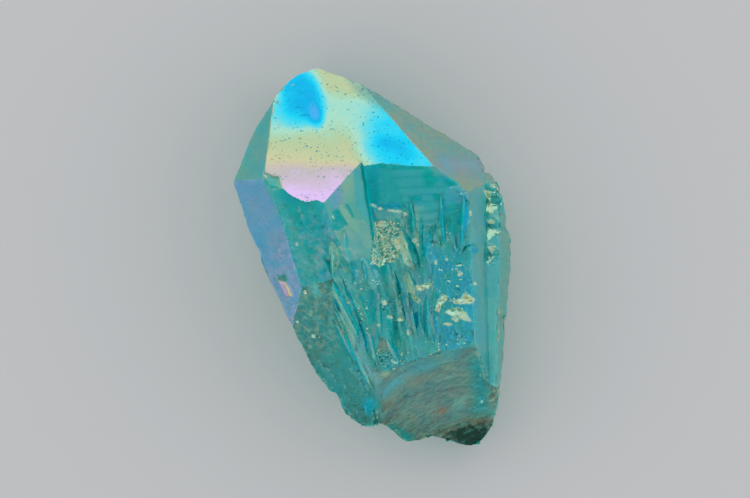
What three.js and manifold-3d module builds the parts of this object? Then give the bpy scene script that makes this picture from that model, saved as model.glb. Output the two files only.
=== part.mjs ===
// Blue aura quartz: one stubby quartz point, broken from its rock and coated with a thin film of metal.
// Millimetres, +Z up. The crystal lies on a broad prism face at z = 0, with its point towards +Y.
// It grew as one piece, so it is one solid: individuals in parallel growth, each cut to shape by its crystal
// faces and joined, with a growth window sunk into the upper side and a shell-like break across the base.

import * as THREE from "three";
import { ConvexGeometry } from "three/addons/geometries/ConvexGeometry.js";
import { mergeVertices } from "three/addons/utils/BufferGeometryUtils.js";
import Module from "manifold-3d";

const wasm = await Module();
wasm.setup();

// Corners where the big faces meet, which set the size of the crystal.
const FRONT_PEAK = [-8.5, 8.5, 26.1];
const LEFT_SHOULDER = [-15.6, 11, 24.7];
const LEFT_POINT = [-21.15, 11.5, 19.9];
const WINDOW_CORNER = [-1.8, 14.5, 21.82];
const RIGHT_SHOULDER = [9.2, 13.8, 21.9];
const FAN_TOP = [7.9, -15.3, 17.1];

// How far a blade in the growth window reaches down from its crest.
const BLADE_DEPTH = 2.4;

// The notches across the shelf on the right side: where along it, how deep, and between which two lines.
const NOTCH_ROWS = [10.4, 8.6, 4.7, 0.4];
const NOTCH_FLOOR = 13;
const NOTCH_INNER = 17.3;
const NOTCH_OUTER = 19.8;

// Side of the blank that every individual is cut from, and of the blocks that cut it.
const BLANK = 160;

// A flat crystal face. facing is the compass direction of its outward normal, in degrees anticlockwise from
// +X, tilt is the angle between that normal and straight up, and through is a point on the face.
const face = (facing, tilt, through) => ({ facing, tilt, through });

// The same face seen from the other side of its wall: what bounds a hollow that leaves this face standing.
const wall = ({ facing, tilt, through }) => face(facing + 180, 180 - tilt, through);

function outward({ facing, tilt }) {
  const turn = THREE.MathUtils.degToRad(facing);
  const lean = THREE.MathUtils.degToRad(tilt);
  return new THREE.Vector3(Math.sin(lean) * Math.cos(turn), Math.sin(lean) * Math.sin(turn), Math.cos(lean));
}

function solidOf(geometry) {
  const bare = geometry.clone();
  bare.deleteAttribute("normal");
  bare.deleteAttribute("uv");
  const merged = mergeVertices(bare, 1e-4);
  return new wasm.Manifold(
    new wasm.Mesh({
      numProp: 3,
      vertProperties: merged.attributes.position.array,
      triVerts: new Uint32Array(merged.index.array),
    }),
  );
}

// The block of stone on the outer side of a face.
function waste(cut) {
  const block = new THREE.BoxGeometry(BLANK, BLANK, BLANK);
  block.translate(0, 0, BLANK / 2);
  const up = new THREE.Vector3(0, 0, 1);
  block.applyQuaternion(new THREE.Quaternion().setFromUnitVectors(up, outward(cut)));
  block.translate(...cut.through);
  return solidOf(block);
}

const blank = solidOf(new THREE.BoxGeometry(BLANK, BLANK, BLANK));
const cutBy = (faces) => faces.reduce((left, cut) => left.subtract(waste(cut)), blank);
const hollow = (walls) => cutBy(walls.map(wall));

// A thin crystal blade: a crest between two points, widest in the middle of its foot, sunk in the floor.
function blade({ from, to, width }) {
  const [start, end] = [from, to].map((point) => new THREE.Vector3(...point));
  const along = end.clone().sub(start).setZ(0).normalize();
  const across = new THREE.Vector3(-along.y, along.x, 0).multiplyScalar(width / 2);
  const foot = new THREE.Vector3(0, 0, -BLADE_DEPTH);
  const middle = start.clone().lerp(end, 0.5).add(foot);
  const sides = [middle.clone().add(across), middle.clone().sub(across)];
  return solidOf(new ConvexGeometry([start, end, start.clone().add(foot), end.clone().add(foot), ...sides]));
}

// The bed and the faces of the point and prism, named for how they look from above with the point at the top.
const bed = face(0, 180, [0, 0, 0]);
const pyramidMain = face(87, 34, WINDOW_CORNER);
const pyramidRight = face(52, 68, RIGHT_SHOULDER);
const pyramidLeft = face(142, 51.8, [-16.69, 11.54, 24.34]);
const prismLeft = face(205, 44.6, LEFT_SHOULDER);
const frontLeft = face(220, 20, FRONT_PEAK);
const frontLeftLow = face(-105, 32, [-6, -4, 23.6]);
const roof = face(9.2, 34.1, WINDOW_CORNER);
const leftFlank = face(-6, 74, [0.4, -20, 15]);
const frontRight = face(-24, 8.5, RIGHT_SHOULDER);
const prismRight = face(0, 66, [15.6, 5, 18.4]);
const shelfTop = face(-5, 28, [17, 5, 14.8]);
const shelfSide = face(-2.2, 65, [19.5, -2, 13.1]);
const shelfTip = face(47, 66, [17.5, 12.6, 14.6]);
const seam = face(188.5, 60, WINDOW_CORNER);

// Faces of the lower half, which lean in towards the bed.
const leftBelowHigh = face(195.5, 97, [-20.49, 8.34, 19.6]);
const leftBelow = face(203.4, 97, [-19.79, 5.64, 19.5]);
const tipLeftLow = face(163.7, 104, [-20.69, 13.04, 18.8]);
const tipLeftBelow = face(153, 98, [-16.12, 22.84, 16.05]);
const tipWornLeft = face(136, 94, [-13.09, 26.74, 13.6]);
const tipWorn = face(106, 94, [-10.09, 28.64, 12.5]);
const tipRightBelow = face(65, 110, [6.83, 21.46, 10.9]);
const shoulderBelow = face(34, 98, [16.32, 15.66, 8]);
const rightBelowHigh = face(20, 105, [19.98, 9.45, 13.1]);
const rightEdge = face(-2, 112, [21.53, 0.44, 9.3]);
const rightBelow = face(-5.8, 98, [20.41, -10.66, 9.6]);

// Broken faces of the base.
const fan = face(-87, 38, FAN_TOP);
const fanFoot = face(-95.75, 100, [14.84, -29.76, 6.3]);
const fanLeftFoot = face(-131, 95, [3.18, -27.51, 8.6]);
const fanRightSide = face(-26, 94, [18.1, -27.1, 8.1]);
const fanRightFoot = face(-47, 94, [16.8, -28.9, 7]);
const leftFoot = face(217, 92, [-6.59, -20.96, 13.2]);
const leftCornerFoot = face(243, 94, [-2.71, -25.82, 10.9]);
const leftToe = face(-93, 100, [0.01, -26.43, 11]);
const leftToeRight = face(-68, 96, [1.46, -25.96, 11]);

const pyramid = [pyramidMain, pyramidRight, pyramidLeft];
const tipBelow = [tipLeftLow, tipLeftBelow, tipWornLeft, tipWorn, tipRightBelow, shoulderBelow];
const sidesBelow = [leftBelowHigh, leftBelow, rightBelowHigh, rightEdge, rightBelow, leftFoot, leftCornerFoot];
const tips = [...pyramid, ...tipBelow];
const sides = [bed, prismLeft, ...sidesBelow];
const brokenBase = [fan, fanFoot, fanLeftFoot, fanRightSide, fanRightFoot];
const leftToes = [leftToe, leftToeRight];

const leftIndividual = cutBy([...tips, ...sides, frontLeft, frontLeftLow, roof, leftFlank, ...leftToes]);
const rightIndividual = cutBy([...tips, ...sides, frontRight, prismRight, seam, ...brokenBase]);
const shelf = cutBy([...tips, ...sides, shelfTop, shelfSide, shelfTip, seam, ...brokenBase]);

// The growth window: a hollow that the fast-growing edges left behind, with a recess on its left.
const mainWindow = hollow([
  face(-97.6, 18, WINDOW_CORNER),
  face(-128, 50, [10.4, 12.8, 22]),
  face(184, 40, [15.6, 4, 17.6]),
  face(-60, 15, [0.2, 4, 19.7]),
  face(205, 12, [5, -5, 17.4]),
  face(8, 80, [0.1, 4, 21.6]),
]);
const leftRecess = hollow([
  face(-75, 40, [-3, -0.8, 22.9]),
  face(18.4, 45, [-4, -6, 22.7]),
  face(-86, 19.6, [-2, -2, 20.5]),
  face(188, 60, [3, -5, 21]),
]);

// A bay in the outline of the base, where the break ran in between two ripples.
const bay = waste(face(-69, 94, [7.5, -28.7, 8])).intersect(waste(face(-110, 94, [11.6, -28.8, 7])));

// V-shaped notches across the shelf, each with one side parallel to the main pyramid face.
const notches = NOTCH_ROWS.map((row) =>
  hollow([
    face(87, 34, [NOTCH_INNER, row, NOTCH_FLOOR]),
    face(-90, 42, [NOTCH_INNER, row, NOTCH_FLOOR]),
    face(0, 88, [NOTCH_INNER, row, NOTCH_FLOOR]),
    face(180, 72, [NOTCH_OUTER, row, NOTCH_FLOOR]),
  ]),
);

// Blades that stand up from the floor of the window, fanning out slightly towards the base.
const blades = [
  { from: [-6.4, 2.2, 25.8], to: [-6.2, -3.2, 24.5], width: 1.4 },
  { from: [-6.3, -3.6, 24.4], to: [-2.1, -11.6, 20.3], width: 1.8 },
  { from: [-6, -8, 21.9], to: [-2.6, -15, 18.1], width: 1.4 },
  { from: [-1.4, -1.2, 21.3], to: [-0.6, -11, 17.9], width: 1.2 },
  { from: [0.9, -4.6, 18.8], to: [1.2, -13.2, 17.2], width: 1.2 },
  { from: [3.9, 5.3, 20.4], to: [6.4, -1.8, 18.9], width: 2 },
  { from: [2.5, -0.8, 19], to: [4.4, -13.6, 17.4], width: 1.8 },
  { from: [4.1, -5.2, 18.4], to: [5.8, -14.2, 17.6], width: 1.6 },
  { from: [5.3, -2.4, 19], to: [7.2, -6.7, 18.8], width: 2.2 },
  { from: [5.9, 8.7, 20.8], to: [6.3, 3.2, 19.6], width: 1.6 },
  { from: [7.9, 2.5, 19.4], to: [8.7, -13.6, 18.1], width: 2 },
  { from: [9.3, 4.8, 19.9], to: [9.9, -13, 18.4], width: 1.6 },
  { from: [10.2, 9.8, 21.6], to: [10.8, -0.8, 19.6], width: 1.8 },
  { from: [13.8, 10.2, 21.8], to: [13.4, 1, 20.5], width: 1.6 },
];

const individuals = leftIndividual.add(rightIndividual).add(shelf);
const hollows = [mainWindow, leftRecess, bay, ...notches];
const windowed = hollows.reduce((left, cut) => left.subtract(cut), individuals);
const crystal = blades.map(blade).reduce((joined, added) => joined.add(added), windowed);

function geometryOf(solid) {
  const mesh = solid.getMesh();
  const geometry = new THREE.BufferGeometry();
  geometry.setAttribute("position", new THREE.BufferAttribute(mesh.vertProperties, mesh.numProp));
  geometry.setIndex(new THREE.BufferAttribute(mesh.triVerts, 1));
  const facets = geometry.toNonIndexed();
  facets.computeVertexNormals();
  return facets;
}

// The origin lies on the bed, under the middle of the crystal's outline.
const coated = new THREE.MeshStandardMaterial({ color: 0x2f9a9c, roughness: 0.3, metalness: 0.35 });
const quartz = new THREE.Mesh(geometryOf(crystal), coated);
quartz.name = "crystal";
quartz.geometry.computeBoundingBox();
const middle = quartz.geometry.boundingBox.getCenter(new THREE.Vector3());
quartz.position.set(-middle.x, -middle.y, 0);

const part = new THREE.Group();
part.add(quartz);
export default part;
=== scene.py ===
# Blue aura quartz: the looks of the crystal, with its floor, lights and camera.
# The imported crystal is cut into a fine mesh, along planes so that its edges stay sharp. Growth steps, ridges,
# sparkling facets, pits and the ripples of the break are then carved into it, and its coating is a material.
# Lengths are in millimetres, except where a name ends in _M for metres. +Z is up and the point is towards +Y.

import math
import random
from collections import namedtuple

import bmesh
import bpy
import numpy as np
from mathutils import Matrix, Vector, kdtree, noise


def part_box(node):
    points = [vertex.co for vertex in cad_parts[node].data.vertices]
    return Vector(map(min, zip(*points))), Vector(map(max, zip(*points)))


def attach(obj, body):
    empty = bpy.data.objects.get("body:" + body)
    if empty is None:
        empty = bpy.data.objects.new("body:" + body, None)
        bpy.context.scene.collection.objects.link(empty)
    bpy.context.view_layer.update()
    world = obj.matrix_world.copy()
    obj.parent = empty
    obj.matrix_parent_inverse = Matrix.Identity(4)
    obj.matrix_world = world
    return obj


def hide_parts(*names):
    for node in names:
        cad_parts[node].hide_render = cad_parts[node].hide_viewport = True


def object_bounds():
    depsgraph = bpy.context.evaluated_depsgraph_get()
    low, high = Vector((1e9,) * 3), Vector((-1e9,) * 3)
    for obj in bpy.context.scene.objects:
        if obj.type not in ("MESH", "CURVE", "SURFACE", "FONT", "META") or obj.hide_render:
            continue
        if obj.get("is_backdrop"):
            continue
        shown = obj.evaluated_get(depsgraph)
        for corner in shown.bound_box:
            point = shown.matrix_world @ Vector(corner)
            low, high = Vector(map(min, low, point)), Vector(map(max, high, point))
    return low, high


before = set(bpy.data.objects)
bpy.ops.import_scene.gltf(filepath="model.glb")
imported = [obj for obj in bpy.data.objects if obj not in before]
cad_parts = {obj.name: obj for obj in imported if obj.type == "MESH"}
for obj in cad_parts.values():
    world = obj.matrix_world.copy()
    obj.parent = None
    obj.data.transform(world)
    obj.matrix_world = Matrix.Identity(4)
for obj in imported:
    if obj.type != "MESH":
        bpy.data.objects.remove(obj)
cad_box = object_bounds()

MM = 0.001
SEED = 7
# The features are drawn on a plan whose origin lies here, seen from the part's origin.
PLAN_ORIGIN = (-0.16, 0.65, 0)


def on_plan(place):
    return place / MM - Vector(PLAN_ORIGIN)


def placed(name, data):
    thing = bpy.data.objects.new(name, data)
    bpy.context.scene.collection.objects.link(thing)
    return thing


def direction(facing, tilt):
    turn, lean = math.radians(facing), math.radians(tilt)
    return Vector((math.sin(lean) * math.cos(turn), math.sin(lean) * math.sin(turn), math.cos(lean)))


def tree_of(places):
    """A tree that finds the nearest of these places."""
    tree = kdtree.KDTree(len(places))
    for k, place in enumerate(places):
        tree.insert(place, k)
    tree.balance()
    return tree


# ---------------- relief

TERRACE = 0.85
RIPPLE_CENTRE = (14.2, -33.2)


def noise_at(points, size, shift=0, stretch=(1, 1, 1)):
    """Smooth noise from -1 to 1 at each point, with bumps about size across, drawn out by stretch."""
    scaled = points / (size * np.array(stretch)) + shift
    return np.array([noise.noise(point) for point in scaled.tolist()])


def smooth(low, high, values):
    share = np.clip((values - low) / (high - low), 0, 1)
    return share * share * (3 - 2 * share)


def bumps(*layers):
    """A relief made of layers of noise. Each has its height and size, and may have a shift and a stretch."""
    return lambda points: sum(height * noise_at(points, *shape) for height, *shape in layers)


flat = bumps()
calm = bumps((0.035, 5), (0.008, 0.9))
grained = bumps((0.05, 4), (0.025, 0.6, 0, (1, 22, 1)), (0.015, 0.7))
rough = bumps((0.16, 2.2), (0.07, 0.8, 3), (0.025, 0.35, 9))
broken = bumps((0.3, 3.5), (0.12, 1.2, 2))


def stepped(points):
    """Terraces across the slope, with worn lips."""
    run = -points[:, 1] * 0.82 + points[:, 2] * 0.57
    warped = run / TERRACE + 0.35 * noise_at(points, 3, 0, (3, 1, 1))
    step = warped - np.floor(warped)
    return 0.16 * (smooth(0, 0.2, step) - step) + 0.04 * noise_at(points, 0.5, 0, (8, 1, 1))


def ripples(points):
    """Shell-like ripples round the point where the base broke off."""
    radius = np.hypot(points[:, 0] - RIPPLE_CENTRE[0], points[:, 1] - RIPPLE_CENTRE[1])
    polar = np.stack([radius, points[:, 0] * 0.12, points[:, 2] * 0], axis=1)
    return 0.1 * noise_at(polar, 0.9) + 0.05 * noise_at(polar, 0.4, 4)


def rippled(points):
    return ripples(points) + 0.05 * noise_at(points, 2.5)


# ---------------- facets

# How a surface looks: how much of the light its film reflects, where that film is in the run of interference
# colours, how far its body colour leans from green towards blue, how much darker it is (or paler, below 0; on
# some features that is painted shade or a painted highlight), how much of it is painted with pale specks as
# glints from facets too small to see singly, and how streaked it is, across the break or, below 0, down the
# window.
Look = namedtuple("Look", "film order blue dark glitter streaks", defaults=(0, 0, 0))

# One kind of flat surface on the crystal: the compass direction and tilt of its normal in degrees, the relief
# it carries and its look.
Facet = namedtuple("Facet", "name facing tilt relief look")

FACETS = (
    Facet("pyramid_main", 87, 34, calm, Look(0.9, 0.3, 0.5)),
    Facet("pyramid_right", 52, 68, calm, Look(0.58, 0.22, 0.25, -0.05)),
    Facet("pyramid_left", 142, 51.8, calm, Look(0.28, 0.26, 0.3)),
    Facet("prism_left", 205, 44.6, calm, Look(0.22, 0.02, 0.9)),
    Facet("front_left", 220, 20, rough, Look(0.02, 0.14, 0.32)),
    # The low front face is painted darker, partly as shade towards the bottom of the crystal.
    Facet("front_left_low", -105, 32, rough, Look(0.06, 0.3, 0.25, 0.36)),
    Facet("roof", 9.2, 34.1, calm, Look(0.2, 0.3, 0.25)),
    Facet("left_flank", -6, 74, rough, Look(0.14, 0.22, 0.2, 0.3)),
    Facet("front_right", -24, 8.5, grained, Look(0.32, 0.05, 0.45, -0.02)),
    Facet("prism_right", 0, 66, grained, Look(0.32, 0.3, 0.55, -0.02)),
    Facet("shelf_top", -5, 28, grained, Look(0.2, 0.44, 0.4)),
    Facet("shelf_side", -2.2, 65, grained, Look(0.34, 0.26, 0.3, 0.08)),
    Facet("shelf_tip", 47, 66, grained, Look(0.25, 0.2, 0.3)),
    Facet("window_head", -97.6, 18, stepped, Look(0.08, 0.52, 0.42, -0.1)),
    Facet("window_right_head", -128, 50, calm, Look(0.02, 0.4, 0.2)),
    Facet("window_right", 184, 40, rough, Look(0.11, 0.54, 0.7, -0.12, 0.15, -0.7)),
    Facet("window_floor", -60, 15, rough, Look(0.08, 0.3, 0.25, -0.05, 0.15, -0.7)),
    Facet("window_slope", 205, 12, rough, Look(0.1, 0.42, 0.45, -0.14, 0.2, -0.7)),
    # The steep wall on the left of the window is painted darker, as shade.
    Facet("window_left", 8, 80, calm, Look(0.1, 0.3, 0.25, 0.16)),
    Facet("recess_head", -75, 40, calm, Look(0.06, 0.4, 0.2)),
    Facet("recess_left", 18.4, 45, rough, Look(0.14, 0.4, 0.3)),
    Facet("recess_floor", -86, 19.6, rough, Look(0.1, 0.3, 0.3)),
    Facet("recess_right", 188, 60, rough, Look(0.1, 0.36, 0.4)),
    # The fan is painted darker, partly as shade towards the bottom of the crystal.
    Facet("fan", -87, 38, rippled, Look(0.19, 0.19, 0.15, 0.58, 0, 0.8)),
    Facet("notch_low", -90, 42, rough, Look(0.1, 0.4, 0.25, -0.08)),
    Facet("notch_inner", 0, 88, calm, Look(0.1, 0.4, 0.25, -0.05)),
    Facet("notch_outer", 180, 72, calm, Look(0.1, 0.4, 0.25, -0.05)),
    Facet("bed", 0, 180, flat, Look(0.2, 0.3, 0.3)),
)
BLADE = Facet("blade", 0, 45, rough, Look(0.11, 0.38, 0.35, -0.14, 0.12, -0.7))
NOTCH_MAIN = Facet("pyramid_main_notch", 87, 34, rough, Look(0.1, 0.4, 0.25, -0.08))
UNDERSIDE = Facet("underside", 0, 110, broken, Look(0.38, 0.32, 0.3))
SAME_FACET = math.cos(math.radians(1.5))
MAIN_FACE_EDGE = 7.6
NOTCH_START = 15
MAIN_NORMAL = direction(FACETS[0].facing, FACETS[0].tilt)


def facet_of(face):
    """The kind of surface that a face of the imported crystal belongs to."""
    kind = max(FACETS, key=lambda facet: direction(facet.facing, facet.tilt).dot(face.normal))
    if direction(kind.facing, kind.tilt).dot(face.normal) < SAME_FACET:
        return UNDERSIDE if face.normal.z < 0 else BLADE
    place = on_plan(face.calc_center_median())
    in_notch = place.y < MAIN_FACE_EDGE or place.x > NOTCH_START
    return NOTCH_MAIN if kind is FACETS[0] and in_notch else kind


# ---------------- fine mesh

# Rectangles on the plan: left, right, bottom and top. The window and the end of the main face's lower edge
# get the finest cells. The crease between the two individuals and the foot of the window's head are softened.
WINDOW = (-7.5, 15.6, -17, 14.2)
MAIN_EDGE = (-17, -4, 6.8, 12.5)
CREASE = (-1.2, 2.6, -27.2, -17.5)
WINDOW_STEP = (6.6, 10.2, -0.5, 5.6)
# The recess on the left runs out into the slope below it: where its left border starts, how that leans, and
# how far the recess reaches.
RECESS_START = (-6.2, 0)
RECESS_LEAN = 0.4
RECESS_RIGHT = 3.5
RECESS_BOTTOM = -18.5

MELTED = ("window_floor", "window_slope", "window_right", "window_left", "blade", "recess_floor")
NOTCHES = ("pyramid_main_notch", "notch_low", "notch_inner", "notch_outer")
MELT_ROUNDS = 25
NOTCH_ROUNDS = 12
RECESS_ROUNDS = 70
OUTLINE_ROUNDS = 16
OUTLINE_REACH_M = 0.0035
WELD_GAP_M = 2e-6
CUT_GAP_M = 1e-7


def within(place, rectangle):
    left, right, bottom, top = rectangle
    return left < place.x < right and bottom < place.y < top


def in_window(face):
    return within(on_plan(face.calc_center_median()), WINDOW)


# The widest cells are on the underside. Each finer pass halves them on the faces that it takes.
COARSE_CELL_M = 0.00128
NOT_BELOW, NOT_STEEP, UPWARD = -0.35, 0.03, 0.45
PASSES = (
    (1, lambda face: True),
    (2, lambda face: face.normal.z > NOT_BELOW),
    (4, lambda face: face.normal.z > UPWARD or (face.normal.z > NOT_STEEP and in_window(face))),
)
FINEST_PASS = 4
LEVEL_LIMIT = 0.6
DETAIL_FLOOR = 0.3


def cut_across(bm, faces, axis, places):
    """Cuts the faces along planes across one axis, halving them in turn so that each cut meets few faces."""
    if not places or not faces:
        return
    half = len(places) // 2
    normal = Vector((axis == 0, axis == 1, axis == 2))
    edges = {edge for face in faces for edge in face.edges}
    verts = {vert for face in faces for vert in face.verts}
    geom = [*verts, *edges, *faces]
    middle = normal * places[half]
    cut = bmesh.ops.bisect_plane(bm, geom=geom, dist=CUT_GAP_M, plane_co=middle, plane_no=normal)
    pieces = [item for item in cut["geom"] if isinstance(item, bmesh.types.BMFace)]
    low = [face for face in pieces if face.calc_center_median()[axis] < places[half]]
    high = [face for face in pieces if face.calc_center_median()[axis] >= places[half]]
    cut_across(bm, low, axis, places[:half])
    cut_across(bm, high, axis, places[half + 1 :])


def slice_up(bm, box):
    low, high = box
    for level, wanted in PASSES:
        cell = COARSE_CELL_M / level
        for axis in range(3):
            first, last = math.floor(low[axis] / cell), math.ceil(high[axis] / cell)
            places = [cell * k for k in range(first, last + 1) if level == 1 or k % 2]
            bm.normal_update()
            faces = [face for face in bm.faces if wanted(face)]
            if axis == 2:
                faces = [face for face in faces if abs(face.normal.z) < LEVEL_LIMIT and level < FINEST_PASS]
            cut_across(bm, faces, axis, places)


def detailed(face):
    """Whether a face carries relief that is finer than the cells: faces that look up in the growth window and
    along the lower edge of the main face.
    """
    at_main_edge = within(on_plan(face.calc_center_median()), MAIN_EDGE)
    return face.normal.z > DETAIL_FLOOR and (in_window(face) or at_main_edge)


def softened(vert):
    place = on_plan(vert.co)
    border = RECESS_START[0] + RECESS_LEAN * (RECESS_START[1] - place.y)
    recess = (border, RECESS_RIGHT, RECESS_BOTTOM, RECESS_START[1])
    return any(within(place, rectangle) for rectangle in (recess, CREASE, WINDOW_STEP))


def relax(bm, verts, rounds):
    for _ in range(rounds):
        bmesh.ops.smooth_vert(bm, verts=verts, factor=0.5, use_axis_x=True, use_axis_y=True, use_axis_z=True)


def melt(bm, layer, kinds):
    """Melts the blades and walls inside the window into its floor, because the carving replaces them, and
    softens the notches, the recess and the crease."""

    def inner(names):
        wanted = [k for k, kind in enumerate(kinds) if kind.name in names]
        return [vert for vert in bm.verts if all(face[layer] in wanted for face in vert.link_faces)]

    relax(bm, inner(MELTED), MELT_ROUNDS)
    relax(bm, inner(NOTCHES), NOTCH_ROUNDS)
    upper = inner([kind.name for kind in kinds if kind is not UNDERSIDE])
    relax(bm, [vert for vert in upper if softened(vert)], RECESS_ROUNDS)


def round_outline(bm, layer, below):
    """Rounds the corners of the crystal's outline: the loop where its upper faces meet those below. What lies
    near the loop, or under it, moves with it."""
    high = [edge for edge in bm.edges if edge.verts[0].co.z > OUTLINE_REACH_M]
    rim = [edge for edge in high if len({face[layer] == below for face in edge.link_faces}) == 2]
    around = {}
    for edge in rim:
        for vert in edge.verts:
            around.setdefault(vert, []).append(edge.other_vert(vert))
    old = [vert.co.copy() for vert in around]
    joints = [(vert, ends) for vert, ends in around.items() if len(ends) == 2]
    for _ in range(OUTLINE_ROUNDS):
        places = [(vert, vert.co / 2 + (one.co + other.co) / 4) for vert, (one, other) in joints]
        for vert, place in places:
            vert.co = place
    pushes = [vert.co - place for vert, place in zip(around, old)]
    tree = tree_of([(place.x, place.y, 0) for place in old])
    for vert in bm.verts:
        if vert in around:
            continue
        _, k, gap = tree.find((vert.co.x, vert.co.y, 0))
        rise = vert.co.z - old[k].z
        share = 1 - gap / OUTLINE_REACH_M - max(rise / OUTLINE_REACH_M, -rise / old[k].z)
        vert.co += pushes[k] * max(share, 0)


def fine_mesh(node):
    """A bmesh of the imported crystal, cut into small cells, with the number of its facet on each face."""
    bm = bmesh.new()
    bm.from_mesh(node.data)
    bmesh.ops.remove_doubles(bm, verts=bm.verts, dist=WELD_GAP_M)
    kinds = []
    layer = bm.faces.layers.int.new("facet")
    for face in bm.faces:
        kind = facet_of(face)
        if kind not in kinds:
            kinds.append(kind)
        face[layer] = kinds.index(kind)
    slice_up(bm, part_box(node.name))
    bmesh.ops.triangulate(bm, faces=bm.faces)
    melt(bm, layer, kinds)
    round_outline(bm, layer, kinds.index(UNDERSIDE))
    edges = {edge for face in bm.faces if detailed(face) for edge in face.edges}
    bmesh.ops.subdivide_edges(bm, edges=list(edges), cuts=1)
    bmesh.ops.triangulate(bm, faces=bm.faces)
    return bm, kinds


# ---------------- looks of the features

TEAL = Look(0.02, 0.5, 0.35)
GREY = Look(0.2, 0.22, 0.32, -0.14)
PALE = Look(0.32, 0.32, 0.22, -0.3)
PALE_GREEN = Look(0.25, 0.36, 0.18, -0.2)
ROOF_PALE = Look(0.3, 0.3, 0.2, -0.03)
SPEAR = Look(0.22, 0.36, 0.1, -0.62, 0, -0.5)
# A painted highlight: pale, with glint specks, laid over the areas whose facets flash.
PAINTED_GLEAM = Look(0.14, 0.44, 0.4, -0.85, 1)
CYAN = Look(0.16, 0.52, 0.4, -0.12)
# Painted shade: a dark look for the grooves, the small hollows and the shaded sides of some ridges.
DEEP_SHADE = Look(0, 0.6, 0.4, 0.16)
LENS_BODY = Look(0.04, 0.5, 0.15, 0.02)
LENS_EDGE = Look(0.12, 0.64, 0.75, -0.05)
FOREST = Look(0, 0.4, 0.2, 0.04)
SHADE = Look(0.02, 0.4, 0.4, 0.2)
LAVENDER = Look(0.2, 0.02, 0.5)
MUTED = Look(0.16, 0.16, 0.3, 0.25)
OLIVE = Look(0.12, 0.25, 0.1, 0.22)
BLUE = Look(0.02, 0.75, 0.9, 0.02)
# Painted shade, with streaks, for the long groove on the lower left.
GROOVE = Look(0.12, 0.45, 0.35, 0.22, 0, -1.4)
# The next three looks carry pale specks painted as glints.
GLITTER = Look(0.1, 0.3, 0.1, 0.12, 0.9)
HALF_GLITTER = Look(0.06, 0.3, 0.3, 0.06, 0.45, -0.8)
FEW_GLINTS = Look(0.06, 0.54, 0.66, -0.12, 0.2, -1.4)

# ---------------- crystal blades, grooves and panels

# A blade that stands up from the surface, or a groove if its height is negative: the line of its crest, its
# height, how far its two sides reach, left and right when going along it, and the looks of the two sides.
Ridge = namedtuple("Ridge", "line height sides looks")

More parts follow.
